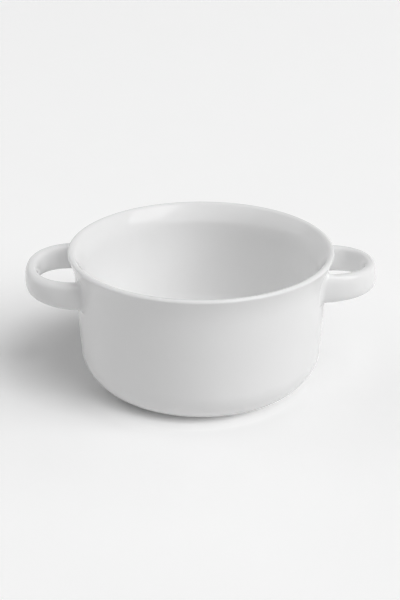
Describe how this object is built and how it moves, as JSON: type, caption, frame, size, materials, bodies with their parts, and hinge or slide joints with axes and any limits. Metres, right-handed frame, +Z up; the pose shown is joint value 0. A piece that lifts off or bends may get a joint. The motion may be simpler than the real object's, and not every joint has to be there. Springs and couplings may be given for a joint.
{
  "type": "two-handled soup bowl",
  "caption": "Round white porcelain soup bowl with an everted lip, near-upright wall, round lower corner, low foot ring and a loop strap handle on each side.",
  "frame": {"origin": "middle of the foot ring's resting face", "axes": "+Z up along the bowl's axis, +X through the right handle, +Y to the back"},
  "size_m": [0.1724, 0.13, 0.0705],
  "materials": {
    "body_glaze": "clear gloss glaze on white porcelain",
    "handle_glaze": "clear gloss glaze on white porcelain",
    "slip_glaze": "clear gloss glaze on white porcelain"
  },
  "bodies": {
    "root": {"bowl_body": "body_glaze", "handle_left": "handle_glaze", "handle_right": "handle_glaze", "slip_joint_left_front": "slip_glaze", "slip_joint_left_rear": "slip_glaze", "slip_joint_right_front": "slip_glaze", "slip_joint_right_rear": "slip_glaze"}
  },
  "joints": []
}
